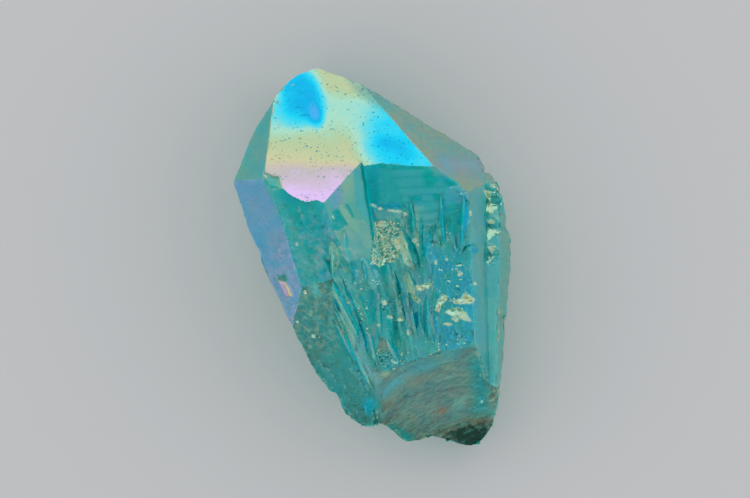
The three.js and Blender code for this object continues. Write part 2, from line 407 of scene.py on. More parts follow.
RIDGES = (
    # The crystals left of the window.
    Ridge(((-6.3, 2.2), (-5.9, -0.2), (-6, -3.1)), 0.35, (0.8, 0.6), (PALE_GREEN, PALE)),
    Ridge(((-4.3, 3.8), (-4.2, 0.8), (-3.5, -1.8)), 0.3, (0.5, 0.8), (CYAN, GREY)),
    Ridge(((-6.3, -3.6), (-5.6, -6), (-4, -9), (-2.9, -11.2), (-2, -13.6)), 0.8, (0.9, 0.8), (TEAL, PALE)),
    Ridge(((-4.9, -3), (-3.8, -6), (-2.1, -10), (-1.1, -13.5), (-0.8, -15.8)), -0.3, (0.4, 0.3),
           (DEEP_SHADE, SHADE)),
    Ridge(((-6.2, -6), (-5.1, -8.5), (-3.5, -11.8)), -0.25, (0.25, 0.3), (DEEP_SHADE, DEEP_SHADE)),
    Ridge(((-5.9, -7.9), (-4.6, -9.6), (-3.3, -12), (-2.6, -15)), 0.35, (0.6, 0.6), (GREY, PALE_GREEN)),
    Ridge(((-6.5, -9.3), (-5, -12.2), (-4, -14.4), (-2.5, -17), (-1, -21)), -0.2, (0.3, 0.4), (GREY, DEEP_SHADE)),
    Ridge(((-4.6, -10.8), (-3.4, -13.6), (-1.8, -17.4), (-0.2, -20.6)), 0.3, (0.4, 0.6), (GREY, TEAL)),
    # The recess.
    Ridge(((-1.5, -0.9), (-0.9, -4.5)), 0.35, (0.35, 0.5), (TEAL, GREY)),
    Ridge(((-2.3, -6.2), (-0.9, -9.7), (-0.4, -11.4)), 0.25, (0.3, 0.35), (FOREST, OLIVE)),
    Ridge(((0.9, -4.6), (1, -9), (1.3, -13.4)), 0.35, (0.35, 0.45), (SHADE, GREY)),
    Ridge(((2.2, -6.2), (2.6, -10), (2.9, -13.6)), 0.25, (0.4, 0.4), (CYAN, TEAL)),
    # Under the main face and on the ledge.
    Ridge(((5.7, 8.4), (6.1, 5.6), (6.1, 3.2)), 0.35, (0.4, 0.7), (CYAN, TEAL)),
    # The centre.
    Ridge(((4.3, 4.8), (5.2, 2.4), (6.3, -0.3)), -0.25, (0.25, 0.25), (DEEP_SHADE, DEEP_SHADE)),
    Ridge(((4.8, 6), (5.2, 4.2), (5.8, 2.2)), 0.35, (0.3, 0.8), (CYAN, GREY)),
    Ridge(((4.3, 3.9), (5, 2), (5.7, -0.2), (6.5, -2.6)), 0.5, (0.25, 1.3), (CYAN, SPEAR)),
    Ridge(((4.8, 3.7), (6.2, 1.4), (7, -0.8), (7.1, -2.6)), -0.2, (0.25, 0.3), (DEEP_SHADE, DEEP_SHADE)),
    Ridge(((5.2, -2.3), (6, -4.4), (6.6, -6.6)), 0.5, (0.4, 1.1), (GREY, SPEAR)),
    Ridge(((3.3, -2.5), (4.1, -5.5), (4.5, -8), (5.1, -10.2)), -0.35, (0.3, 0.3), (DEEP_SHADE, OLIVE)),
    Ridge(((2.9, -2.6), (3.5, -6), (4.1, -8.6), (4.7, -10.6)), 0.3, (0.3, 0.5), (PALE, GREY)),
    Ridge(((4.8, -5.6), (5.4, -9), (6, -12.6)), 0.35, (0.7, 0.4), (MUTED, LAVENDER)),
    Ridge(((7.2, -7.4), (7.1, -9.2), (7.5, -12)), 0.3, (0.3, 0.4), (TEAL, PALE_GREEN)),
    Ridge(((6.7, -8.6), (6.7, -11.6)), -0.3, (0.3, 0.4), (DEEP_SHADE, DEEP_SHADE)),
    Ridge(((7.4, 6.2), (7.4, 2), (7.6, -1.2)), 0.3, (0.3, 0.4), (DEEP_SHADE, CYAN)),
    Ridge(((9.4, 4.6), (8.4, 1), (8, -1.2)), 0.4, (0.5, 0.7), (CYAN, TEAL)),
    Ridge(((8.2, -5.8), (8.3, -9.6), (8.6, -13.4)), 0.35, (0.5, 0.6), (CYAN, MUTED)),
    Ridge(((9, -1.6), (9.5, -6), (9.2, -9.6), (9.6, -13.4)), 0.25, (0.4, 0.5), (TEAL, GREY)),
    Ridge(((5.9, -7.6), (6.2, -9.8), (6.9, -13.2)), 0.3, (0.3, 0.4), (DEEP_SHADE, GREY)),
    Ridge(((-0.6, -11.4), (0, -14), (0.6, -17)), 0.25, (0.3, 0.4), (DEEP_SHADE, GREY)),
    Ridge(((2, -12.6), (3.4, -15.4), (4.2, -16.8)), 0.25, (0.4, 0.4), (DEEP_SHADE, GREY)),
    Ridge(((10.9, 9.2), (10.7, 5.4), (10.9, 1.2)), 0.25, (0.35, 0.35), (LENS_EDGE, LENS_EDGE)),
    Ridge(((14, 9.2), (14.2, 5.6), (13.4, 1.4)), 0.25, (0.4, 0.4), (LENS_EDGE, LENS_EDGE)),
    Ridge(((13.7, 0.2), (14.2, 1.2), (15.2, 1.5), (16, 1.1)), -0.2, (0.2, 0.25), (DEEP_SHADE, DEEP_SHADE)),
    Ridge(((4.6, -18.6), (2.8, -20.8), (1.3, -22.6)), 0.08, (0.5, 0.6),
           (MUTED, Look(0.16, 0.42, 0.45, 0.12))),
    Ridge(((-3.7, -15.3), (-2.4, -18.2), (-0.6, -21.8)), -0.25, (0.6, 0.6), (GROOVE, GROOVE)),
)


def dot(x, y, across, along, turn=0):
    """The outline of a small lens-shaped area."""
    lean = math.radians(turn)
    angles = np.linspace(0, 2 * math.pi, 8)[:-1]
    corners = [(across * math.cos(angle), along * math.sin(angle)) for angle in angles]
    return tuple((x + u * math.cos(lean) - v * math.sin(lean), y + u * math.sin(lean) + v * math.cos(lean))
                 for u, v in corners)


# A flat panel or a patch: its outline, its look, how wide its soft edge is and how far it is raised.
Panel = namedtuple("Panel", "outline look edge height", defaults=(0.25, 0))

PANELS = (
    # The roof on the left of the window.
    Panel(((-5, 11.6), (-2.9, 12.8), (-2.5, 8), (-5.4, 7.4)), ROOF_PALE, 0.8),
    Panel(((-7, 9), (-5.8, 10.4), (-4.8, 10.9), (-4.5, 8), (-5.4, 6.6), (-6.6, 6.8)),
           LAVENDER, 0.6, height=0.04),
    Panel(((-2.9, 13), (-2.3, 12.4), (-1.1, 8.5), (-0.5, 5.4), (-1, 5.1), (-2.3, 7)),
           CYAN, 0.6, height=0.06),
    Panel(((-5.4, 7), (-4.6, 7.7), (-2.8, 5.6), (-1.2, 5.1), (0, 3.2), (-0.2, 1), (-1, 0.8), (-2.6, 3.2),
           (-4.2, 5)), ROOF_PALE, 0.4, height=0.08),
    Panel(((-6.3, 6.2), (-5.4, 7), (-3.8, 4.6), (-4.8, 3.9), (-6, 3.6)), FOREST, height=-0.08),
    Panel(((-4.2, 3.9), (-3, 3.7), (-1.8, 3), (-2.5, 1.2), (-2, -0.6), (-2.8, -0.9), (-3.6, 1)), GREY, 0.8),
    Panel(((-4.2, 7.7), (-3.9, 7.8), (-2.8, 5.7), (-3.1, 5.5)), FOREST, height=-0.08),
    # The recess and the slope below it.
    Panel(((-3.4, -1.2), (-2.5, -1.1), (-2.5, -3), (-3, -4.6)), DEEP_SHADE, height=-0.1),
    Panel(((-1.3, -5.4), (0.6, -5.4), (0.6, -10), (-0.2, -10.6), (-1, -9)), SHADE, 0.6),
    Panel(((-2.6, -0.8), (0.6, -0.8), (1.2, -5), (-2.4, -5)), Look(0.08, 0.35, 0.3, 0, 0.35, -1), 1),
    Panel(((-3, -4.5), (-1.4, -4.5), (-0.6, -8.5), (-1.8, -9.5)), HALF_GLITTER, 1.2),
    Panel(((0.4, -6), (3, -6.4), (3.4, -10.4), (0.6, -11.5)), HALF_GLITTER, 1.2),
    Panel(((-5.4, -4.2), (-4.2, -4), (-2.6, -8.4), (-3.4, -9.2)), HALF_GLITTER, 0.8),
    Panel(((-2.8, -9.6), (-1.2, -9.2), (-0.4, -12.6), (-1.4, -13.4)), HALF_GLITTER, 0.8),
    Panel(((-4, -12.2), (-2.3, -11.6), (-1.2, -13.5), (-1, -16), (-1.8, -17.2), (-3.2, -14.2)),
           Look(0.18, 0.12, 0.3, 0.02), 0.8, height=0.05),
    Panel(((-2.4, -15.6), (-1.2, -15.4), (0.6, -17.8), (1.6, -19.6), (0.8, -20.4), (-1, -18.4)),
           Look(0.2, 0.12, 0.2, 0.15), 0.7),
    Panel(((0.3, -14.6), (3.8, -14.8), (4.6, -16.8), (1.8, -18.6), (0.8, -17.4)),
           Look(0.05, 0.3, 0.4, 0.12, 0.3, -1), 1.4, height=-0.05),
    Panel(dot(1.9, -18.4, 0.6, 0.4, 20), Look(0.4, 0.23, 0, 0.3), 0.7),
    # The ledge.
    Panel(((-1.7, 13.7), (3.4, 13.4), (4.6, 7.9), (-0.4, 7.9)), Look(0.06, 0.5, 0.38, -0.06), 0.4),
    Panel(((-1.5, 13.9), (8.2, 13.3), (8, 12.8), (-1.3, 13.3)), FOREST, 0.5),
    Panel(((-1.4, 12.9), (0.4, 12.6), (0.9, 8.6), (0.3, 4.8), (-0.1, 7)), Look(0, 0.6, 0.4, 0.1), 0.9),
    Panel(((-0.2, 7.8), (4.5, 7.8), (4.4, 7), (0.2, 7.1)), Look(0.02, 0.6, 0.6, 0.08), 0.5, height=-0.12),
    Panel(((0.2, 6.7), (4.4, 6.4), (4.4, 5.5), (0.3, 5.6)), Look(0.14, 0.24, 0.3, -0.1), 0.5, height=0.1),
    Panel(((7.4, 12.3), (8.4, 13), (9.8, 12.8), (10.4, 12), (9.8, 11.1), (9, 10.3), (8, 10.2)),
           FOREST, 0.8, height=-0.05),
    Panel(((10.3, 12), (11.4, 11.8), (13, 10.8), (12.6, 10.3), (11.4, 10.5), (10.6, 11.2)),
           DEEP_SHADE, 0.5, height=-0.1),
    Panel(((5.4, 8.9), (7.5, 8.9), (7.3, 8.2), (5.6, 8.2)), FOREST, height=-0.05),
    Panel(((9.2, 9.3), (10.2, 9.3), (10.2, 8.3), (9.1, 8.4)), FOREST, height=-0.05),
    Panel(((10.9, 9.7), (11.8, 10.4), (13, 10.3), (13.9, 9.4), (13.9, 8), (12.2, 7.4), (11, 8)),
           Look(0.07, 0.6, 0.72, -0.19), 0.3, height=0.12),
    Panel(((12.3, 8.2), (13.4, 7.4), (13.7, 5.4), (13.2, 3.4), (12.4, 2.8), (11.5, 3.6), (11.1, 5.6),
           (11.4, 7.4)), LENS_BODY, 0.3),
    # The centre.
    Panel(((0.1, 5.1), (3.4, 5.2), (4.3, 4.5), (4.8, 2.2), (4.3, 1), (3.8, -1.1), (1, -2), (-0.3, -1.3),
           (0.1, 2.2)), GLITTER, 0.4),
    Panel(((9, 0.6), (14.6, 1), (15.8, -5), (16, -13.6), (10.4, -15.2), (9, -5)), FEW_GLINTS, 1.8),
    Panel(((5.9, 7.4), (7.6, 7.2), (7.7, 0.8), (6.6, 0.4), (6.2, 3.6)), Look(0.14, 0.4, 0.45, -0.3), 0.6),
    Panel(((1.5, -1.4), (2.8, -1), (3.4, -1.6), (2.6, -3.2), (1.8, -2.6)), FOREST, height=-0.05),
    Panel(((6.8, 7), (9.6, 6.4), (9.2, 2.6), (8.3, -0.4), (7.4, 1)), Look(0.14, 0.45, 0.45, -0.12), 0.6),
    Panel(((14.3, 4), (15.2, 4.4), (15.9, 3.4), (15.9, 1.7), (14.8, 1.9), (14.1, 2.4)),
           GREY, 0.4, height=0.12),
    Panel(dot(15.6, 0.6, 0.65, 0.45), BLUE, 0.4, height=-0.1),
    Panel(((15.1, -0.7), (16.3, -0.4), (16.6, -3.8), (15.4, -4.2), (14.8, -2.2)),
           Look(0.3, 0.14, 0.35, -0.08), 0.5, height=0.1),
    # A painted highlight: the pale glint line down the spear.
    Panel(((5.4, 2), (5.55, 1.8), (5.3, 0.9), (5.05, 0.2), (4.95, 0.7)), Look(0.05, 0.3, 0, -1),
           0.2, height=0.05),
    # The pyramid face on the right, the base and the lower left of the crystal.
    Panel(((10.2, 15), (17.4, 15), (16.6, 12.2), (10, 12.6)), Look(0.48, 0.05, 0.5, -0.2), 2.6),
    Panel(((14.9, -16), (17.9, -15.6), (18, -24.4), (15.6, -25)), Look(0.05, 0.4, 0.3, 0.34, 0.1, 0.7), 2.4),
    Panel(dot(10.8, -24.3, 0.75, 0.35, 15), Look(0.26, 0.22, 0, 1), 0.5),
    Panel(dot(13.4, -23, 1.3, 0.6, 30), Look(0.24, 0.3, 0.2, 0.2, 0.1, 1), 1.2),
    Panel(((1.8, -26.8), (3.4, -26.4), (6.6, -28.4), (5.4, -29.4), (3.6, -28.6)), Look(0.03, 0.3, 0.1, 0.4),
           0.8),
    Panel(((0.4, -21.2), (6, -17), (13, -14.8), (12.6, -16), (6.4, -18.6), (2, -22.6)), MUTED, 1.6),
    # The chip at the left end of the main face, and the green border of the long face on the left.
    Panel(((-16.6, 12.4), (-15.4, 11.9), (-14.3, 11.6), (-13.9, 10), (-15, 9.8), (-16.4, 11)),
           Look(0.2, 0.38, 0.2, -0.12), 0.3, height=-0.3),
    Panel(((-14.6, -3.3), (-13.3, -3.1), (-13.1, -4.1), (-14.4, -4.2)), Look(0.1, 0.4, 0.1, 0.4),
           0.3, height=-0.1),
    Panel(((-14.5, -4), (-13.6, -4.2), (-12.8, -6.4), (-13.3, -6.4)), Look(0.85, 0, 0.3), 0.3, height=0.1),
    Panel(((-13.7, -4.2), (-13.1, -4.5), (-12.2, -6.5), (-12.8, -6.5)), Look(0.85, 0.26, 0.3),
           0.3, height=0.1),
    Panel(((-16.3, 10.9), (-14.9, 10.6), (-9.9, -0.6), (-7.9, -6.4), (-8.8, -6.6), (-11.3, -0.6)),
           Look(0.1, 0.42, 0.35, -0.03), 0.9),
    Panel(dot(-0.5, -23.5, 1.1, 1.3, 15), Look(0.06, 0.62, 0.66, 0.12, 0, -1), 1.1),
)
RAGGED = 0.12
BEND = 0.5
TAPER = 4
NARROWEST = 1e-3
CLEAN_EDGE = 1e-6
SIDE_START = 0.1
PAINTED_GLEAM_EDGE = 0.3
GLEAMING = 0.5

# A point on the main face, and the outline of its lower edge.
MAIN_FACE_POINT = (-1.71, 14.16, 21.82)
LOWER_EDGE = ((-16.2, 13), (-16, 11.3), (-14.2, 10.3), (-13.1, 9.5), (-11.8, 8.6), (-10.9, 8.1), (-10, 7.9),
              (-8.9, 8), (-7.8, 8.2), (-6.8, 8.7), (-6.1, 9.5), (-5.4, 10.6), (-5.2, 13))


def along_line(points, line):
    """For each point: its distance to a line of points, which side it is on (above 0 for the right when going
    along the line) and how far along it is, from 0 to 1."""
    line = np.array(line)
    lengths = np.hypot(*np.diff(line, axis=0).T)
    nearest, side, share = np.full(len(points), np.inf), np.zeros(len(points)), np.zeros(len(points))
    done = 0
    for start, end, length in zip(line[:-1], line[1:], lengths):
        along = (end - start) / length
        offset = points[:, :2] - start
        run = np.clip(offset @ along, 0, length)
        gap = np.hypot(*(offset - run[:, None] * along).T)
        closer = gap < nearest
        nearest[closer] = gap[closer]
        side[closer] = (offset[:, 0] * along[1] - offset[:, 1] * along[0])[closer]
        share[closer] = ((done + run) / lengths.sum())[closer]
        done += length
    return nearest, side, share


def ridge_weights(points, ridge):
    """How much each point belongs to the left and to the right side of a ridge, falling from 1 at its crest.
    The ridge narrows to a point at both ends."""
    nearest, side, share = along_line(points, ridge.line)
    taper = np.clip(TAPER * np.minimum(share, 1 - share), NARROWEST, 1)
    return [np.where(side * sign > 0, np.clip(1 - nearest / (reach * taper), 0, 1), 0)
            for sign, reach in zip((-1, 1), ridge.sides)]


def inside(points, outline, edge=CLEAN_EDGE):
    """1 well inside an outline, 0 well outside it, and between over a strip of this width along it."""
    corners = np.array(outline)
    enclosed = np.zeros(len(points), dtype=bool)
    nearest = np.full(len(points), np.inf)
    x, y = points[:, 0], points[:, 1]
    for start, end in zip(corners, np.roll(corners, -1, axis=0)):
        nearest = np.minimum(nearest, along_line(points, (start, end))[0])
        crosses = (start[1] > y) != (end[1] > y)
        with np.errstate(divide="ignore", invalid="ignore"):
            meets = start[0] + (y - start[1]) * (end[0] - start[0]) / (end[1] - start[1])
        enclosed ^= crosses & (x < meets)
    return np.clip(0.5 + np.where(enclosed, nearest, -nearest) / edge, 0, 1)


def near(points, outline, reach):
    corners = np.array(outline)
    low, high = corners.min(axis=0) - reach, corners.max(axis=0) + reach
    return np.flatnonzero(((points[:, :2] > low) & (points[:, :2] < high)).all(axis=1))


def ragged(points):
    """The points moved about a little in plan, so that what is drawn on them gets uneven edges."""
    moved = points.copy()
    moved[:, 0] += RAGGED * noise_at(points, BEND, 21)
    moved[:, 1] += RAGGED * noise_at(points, BEND, 35)
    return moved


def grow_main_face(points, allowed):
    """Grows the main face down over its neighbours, to an edge that bows twice."""
    offset = points[:, :2] - MAIN_FACE_POINT[:2]
    fall = offset @ np.array(MAIN_NORMAL.xy) / MAIN_NORMAL.z
    plane = MAIN_FACE_POINT[2] - fall + calm(points)
    grown = (inside(ragged(points), LOWER_EDGE) > 0.5) & allowed & (points[:, 2] < plane)
    points[grown, 2] = plane[grown]


def features(points):
    """The panels, the sides of the ridges and the painted highlights on the areas that flash, from the lowest
    layer
    of paint up. For each: the points near it, how far it lifts them, how much of each it paints, and its look."""
    drawn = ragged(points)
    painted_gleams = [Panel(area.outline, PAINTED_GLEAM, PAINTED_GLEAM_EDGE) for area in SPARKLES if area.share > GLEAMING]
    for feature in (*PANELS, *RIDGES, *painted_gleams):
        if isinstance(feature, Panel):
            chosen = near(points, feature.outline, feature.edge)
            weight = inside(drawn[chosen], feature.outline, feature.edge)
            yield chosen, feature.height * weight, weight, feature.look
            continue
        chosen = near(points, feature.line, max(feature.sides))
        for weight, look in zip(ridge_weights(drawn[chosen], feature), feature.looks):
            yield chosen, feature.height * weight, smooth(0, SIDE_START, weight), look


def raise_features(points, upward):
    """Raises the ridges and the panels where the surface faces up."""
    lifted = np.zeros(len(points))
    for chosen, lift, _, _ in features(points):
        lifted[chosen] += lift
    points[:, 2] += lifted * upward


def paint_features(middles, upward, looks):
    """Changes the looks, one row for each value of a look, at the middles of the faces on the features, as
    far as those faces look upward."""
    for chosen, _, share, look in features(middles):
        looks[:, chosen] += (np.array(look)[:, None] - looks[:, chosen]) * share * upward[chosen]


# ---------------- shards and sparkling facets

# Long flat shards that the growth left side by side: the facets they break up, the range of sectors across
# the window, the lean of their long side, their size across and along, the most they tilt either way, how far
# one steps up from the next, and how much their shades differ.
Shards = namedtuple("Shards", "facets sectors lean size tilts step contrast", defaults=(1,))

EVERYWHERE = (-99, 99)
IN_WINDOW = (*MELTED, "recess_head")
SHARDS = (
    Shards(IN_WINDOW, (-99, 0.75), 24, (0.8, 4), (14, 5), 0.06),
    Shards(IN_WINDOW, (0.75, 7.9), 14, (0.8, 4), (14, 5), 0.06),
    Shards(IN_WINDOW, (7.9, 99), 2, (0.9, 3.5), (10, 5), 0.05),
    Shards(("front_left",), EVERYWHERE, 25, (0.8, 1), (4, 4), 0.03, 0.7),
    Shards(("front_left_low",), EVERYWHERE, 24, (0.5, 1.8), (6, 4), 0.04, 0.5),
)
SECTOR_SLANT = 0.116
SHARDS_BELOW = 7.8
SPARKLING = (*IN_WINDOW, "front_left", "front_left_low", "fan", "roof", "pyramid_main", *NOTCHES)

# Areas that are broken into small flat facets: the outline of the area, the size of its facets, and the share
# of them that lie parallel to the main pyramid face, and so flash with it. Where more than half of them flash,
# the area is also painted pale with glint specks as a highlight.
Sparkle = namedtuple("Sparkle", "outline size share", defaults=(0.35, 1))

SPARKLES = (
    # The glittering floor next to the roof.
    Sparkle(((0.1, 5.1), (3.4, 5.2), (4.2, 4), (4.4, 2), (3.4, -1), (1, -2), (-0.3, -1.3)), 0.5, 0.25),
    Sparkle(dot(3.7, 1.5, 0.5, 0.9, 15), 0.4, 0.7),
    Sparkle(dot(1.4, 4.4, 0.9, 0.3), 0.35, 0.6),
    # The ledge.
    Sparkle(dot(0.1, 7.45, 0.55, 0.22, -25), 0.8),
    Sparkle(dot(1.1, 7, 0.4, 0.22)),
    Sparkle(dot(3.3, 6.6, 1.2, 0.2, -6), 0.5, 0.8),
    Sparkle(dot(4.9, 6.1, 0.3, 0.25)),
    # The clusters on the right.
    Sparkle(((10, -6.9), (10.7, -6.2), (11.4, -6.4), (11.3, -7.1), (10.5, -7.8), (10, -9), (9.5, -8.5)),
             1, 0.95),
    Sparkle(((12.1, -7.1), (13.3, -6.8), (14.2, -5.7), (14.7, -6.2), (15.7, -6.9), (15.2, -7.5),
             (12.7, -7.6)), 1.1, 0.95),
    Sparkle(((11, -8.8), (12, -8.3), (13.1, -8.2), (14.1, -8.8), (15.1, -10.2), (14.3, -10.2), (12, -9.4)),
             1.1, 0.95),
    Sparkle(dot(12.6, -10, 0.55, 0.25, -20), 0.9),
    Sparkle(dot(11.5, -10.7, 0.7, 0.22), 0.9),
    # The bright steps at the ends of the spears.
    Sparkle(((6.5, -4.8), (7.4, -4.7), (8.7, -4.4), (9.3, -4.2), (8.5, -5.1), (7.3, -5.6), (6.7, -5.5)),
             1.2),
    Sparkle(((5.9, -6.4), (6.7, -6.2), (7.4, -7.1), (7, -7.5), (6.2, -7)), 1),
    Sparkle(dot(6.35, 2.1, 0.42, 0.35), 0.8),
    Sparkle(dot(6.9, 1.5, 0.25, 0.2)),
    Sparkle(dot(5, 1.05, 0.2, 0.9, -10), 0.9),
    Sparkle(dot(2.6, -9.6, 0.5, 0.25, -20), 0.8),
    Sparkle(dot(4.2, -10, 0.5, 0.3), 0.8),
    Sparkle(dot(1.8, -7.4, 0.35, 0.4), 0.4, 0.7),
    Sparkle(dot(0.85, -10.8, 0.22, 0.2)),
    Sparkle(dot(5.4, -12, 0.2, 0.4)),
    Sparkle(dot(3.3, -16.6, 0.45, 0.16, -20)),
    Sparkle(dot(-1.7, -10.5, 0.4, 0.5), 0.4, 0.5),
    Sparkle(dot(13.35, -3, 0.4, 0.25, 40)),
    Sparkle(dot(15.6, -4.5, 0.25, 0.3)),
    Sparkle(dot(11.3, -0.8, 0.2, 0.2)),
    Sparkle(dot(9.6, -1.2, 0.25, 0.35)),
    Sparkle(dot(14.9, 6.3, 0.15, 0.4)),
    # The left side.
    Sparkle(dot(-1.7, -19.4, 0.3, 2.2, 22), 0.35, 0.3),
    Sparkle(dot(-6.05, 5.7, 0.16, 0.4, 35)),
    Sparkle(dot(-11.6, 1.6, 0.2, 0.2)),
    Sparkle(dot(-10.3, -5.8, 0.2, 0.2)),
    Sparkle(dot(-9.1, -12.5, 0.28, 0.25)),
    Sparkle(dot(-11.5, -10.3, 0.25, 0.25)),
    # The notches.
    Sparkle(((16.9, 9.9), (18.1, 9.7), (18.1, 7.8)), 1.6),
    Sparkle(dot(18.5, 10.6, 0.45, 0.3), 0.8),
    Sparkle(dot(18.2, 5, 0.5, 0.35), 0.8),
    Sparkle(((17.7, 1.2), (18.9, 1.2), (18.4, 0)), 1.4),
    # The base.
    Sparkle(dot(16.8, -22.8, 0.22, 0.2)),
    # Fine growth between the shards.
    Sparkle(((9.8, -1.6), (11.4, -0.4), (13, -1.4), (14.8, -0.6), (15, -5.4), (12.4, -6.4), (10.4, -4.6)),
             0.6, 0.05),
    Sparkle(((10.6, -11.4), (13, -11.8), (15.2, -10.8), (15.6, -13.4), (13.6, -12.9), (12, -14.2)),
             0.6, 0.05),
    Sparkle(((-2.8, -4.3), (-1.2, -4.3), (-0.4, -8.8), (-1.7, -9.6), (-2.6, -7)), 0.45, 0.08),
    Sparkle(((0.8, -6.4), (2.8, -6.8), (3.1, -10), (2, -11.4), (0.9, -10.4)), 0.45, 0.08),
    Sparkle(((0.6, -14.8), (3, -14.6), (4, -16.4), (2.2, -17.6), (1, -16.8)), 0.5, 0.06),
)
SPARKLE_TILTS = (3, 26)
UP_ENOUGH = 0.4


def cells_of(points, seeds):
    """The number of the nearest seed to each point, all given in two coordinates."""
    tree = tree_of([(x, y, 0) for x, y in seeds])
    return np.array([tree.find((x, y, 0))[1] for x, y in points.tolist()], dtype=int)


def scattered(rng, low, high, count):
    """This many places in a rectangle on the plan, from its low corner to its high one."""
    return [(rng.uniform(low[0], high[0]), rng.uniform(low[1], high[1])) for _ in range(count)]


def shades(rng, seeds, cells):
    """A shade from -1 to 1 for each cell, given to all that lies in it."""
    return np.array([rng.uniform(-1, 1) for _ in seeds])[cells]


def lay_shards(points, chosen, shards, rng, tint):
    """Tilts the chosen part of the surface in long flat shards, each by an amount of its own."""
    lean = math.radians(shards.lean)
    x, y = points[chosen, 0], points[chosen, 1]
    across = x * math.cos(lean) + y * math.sin(lean)
    along = y * math.cos(lean) - x * math.sin(lean)
    wavy = across + RAGGED * noise_at(points[chosen], 0.8, 6)
    scaled = np.stack([wavy / shards.size[0], along / shards.size[1]], axis=1)
    low, high = scaled.min(axis=0) - 1, scaled.max(axis=0) + 1
    seeds = scattered(rng, low, high, int((high - low).prod()))
    cells = cells_of(scaled, seeds)
    middle = np.array(seeds)[cells] * shards.size
    slopes = [[math.tan(math.radians(rng.uniform(-most, most))) for most in shards.tilts] for _ in seeds]
    slope = np.array(slopes)[cells]
    step = np.array([rng.uniform(-shards.step, shards.step) for _ in seeds])[cells]
    points[chosen, 2] += step + (across - middle[:, 0]) * slope[:, 0] + (along - middle[:, 1]) * slope[:, 1]
    tint[chosen] = shards.contrast * shades(rng, seeds, cells)


def tilted(rng, share):
    """The slope down +X and +Y of one small facet."""
    flashes = rng.random() < share
    normal = MAIN_NORMAL if flashes else direction(rng.uniform(0, 360), rng.uniform(*SPARKLE_TILTS))
    return normal.x / normal.z, normal.y / normal.z


def sparkle(points, allowed, tint):
    """Replaces the allowed part of the surface in each area by small flat facets at different tilts."""
    rng = random.Random(SEED)
    drawn = ragged(points)
    for area in SPARKLES:
        chosen = near(points, area.outline, 0)
        chosen = chosen[allowed[chosen]]
        chosen = chosen[inside(drawn[chosen], area.outline) > 0.5]
        if not len(chosen):
            continue
        low, high = points[chosen, :2].min(axis=0) - area.size, points[chosen, :2].max(axis=0) + area.size
        count = int((high - low).prod() / area.size**2) + 1
        seeds = scattered(rng, low, high, count)
        cells = cells_of(points[chosen, :2], seeds)
        number = np.maximum(np.bincount(cells, minlength=count), 1)
        middles = [np.bincount(cells, points[chosen, axis], minlength=count) / number for axis in range(3)]
        slope = np.array([tilted(rng, area.share) for _ in seeds])[cells]
        fall_x = (points[chosen, 0] - middles[0][cells]) * slope[:, 0]
        fall_y = (points[chosen, 1] - middles[1][cells]) * slope[:, 1]
        points[chosen, 2] = middles[2][cells] - fall_x - fall_y
        tint[chosen] = shades(rng, seeds, cells)


# ---------------- worn edges

SHARP_CREASE = math.radians(8)
WEAR_REACH = 0.5
WEAR = 0.1
KNOCKED_WEAR = 0.35
# Places where the outline was knocked in: centre, radius and depth.
DENTS = (
    ((-17.4, 0.6), 1.6, 0.35),
    ((20.8, 4.2), 1.5, 0.45),
    ((20.2, -10.3), 1.6, 0.35),
    ((17.6, 13), 0.9, 0.6),
    ((-5.6, -22.2), 1.8, 0.6),
    ((19.6, 9.6), 0.8, 0.35),
    ((-13.2, -11.2), 1.5, 0.3),
    ((2.4, -27.2), 1.2, 0.35),
)


def outer_edges(bm):
    """The numbers of the vertices on the crystal's convex edges."""
    edges = [edge for edge in bm.edges if edge.calc_face_angle_signed(0) > SHARP_CREASE]
    return list({vert.index for edge in edges for vert in edge.verts})


def wear_edges(points, normals, convex):
    """Wears the convex edges back a little, most where the outline was knocked."""
    tree = tree_of(points[convex])
    gaps = np.array([tree.find(point)[2] for point in points.tolist()])
    worn = np.flatnonzero(gaps < WEAR_REACH)
    some = points[worn]
    knocked = smooth(8, 16, some[:, 0] - 0.3 * some[:, 1]) + smooth(-14, -20, some[:, 1])
    patchy = np.clip(noise_at(some, 1.4, 11) + 0.25, 0, 1)
    amount = (WEAR + KNOCKED_WEAR * np.clip(knocked, 0, 1)) * patchy
    share = (1 - gaps[worn] / WEAR_REACH) ** 2
    points[worn] -= normals[worn] * (amount * share)[:, None]
    for centre, radius, depth in DENTS:
        gap = np.hypot(points[:, 0] - centre[0], points[:, 1] - centre[1]) / radius
        inward = -np.array(centre) / math.hypot(*centre)
        points[:, :2] += (depth * smooth(1, 0, gap))[:, None] * inward


# ---------------- carving

STIFFNESS = 0.03
RESTING_HEIGHT = 1e-3
RAISED_FROM, RAISED_FULLY = 0.2, 0.5
PAINTED_FULLY = 0.12
RIPPLE_TINT = 7
SHARP_ANGLE = math.radians(19)


def read(collection, name, width, kind=np.float32):
    values = np.empty(len(collection) * width, kind)
    collection.foreach_get(name, values)
    return values.reshape(-1, width) if width > 1 else values


def write(mesh, name, domain, values):
    mesh.attributes.new(name, "FLOAT", domain).data.foreach_set("value", values.astype(np.float32))


def moved_by_relief(points, corners, corner_normals, corner_facets, kinds):
    """The points after the relief of every facet that they lie on. A point on one facet moves along its
    normal, and a point where facets meet goes to where the moved facets meet."""
    count = len(points)
    corner_heights = np.zeros(len(corners))
    for relief in {kind.relief for kind in kinds}:
        used = np.isin(corner_facets, [k for k, kind in enumerate(kinds) if kind.relief is relief])
        verts = np.unique(corners[used])
        heights = np.zeros(count)
        heights[verts] = relief(points[verts])
        corner_heights[used] = heights[corners[used]]

    def gathered(values):
        return np.bincount(corners, values, minlength=count)

    share = gathered(np.ones(len(corners)))
    planes = np.empty((count, 3, 3))
    pushes = np.empty((count, 3, 1))
    for a in range(3):
        pushes[:, a, 0] = gathered(corner_normals[:, a] * corner_heights)
        for b in range(3):
            planes[:, a, b] = gathered(corner_normals[:, a] * corner_normals[:, b])
        planes[:, a, a] += STIFFNESS * share
    return points + np.linalg.solve(planes, pushes)[:, :, 0]


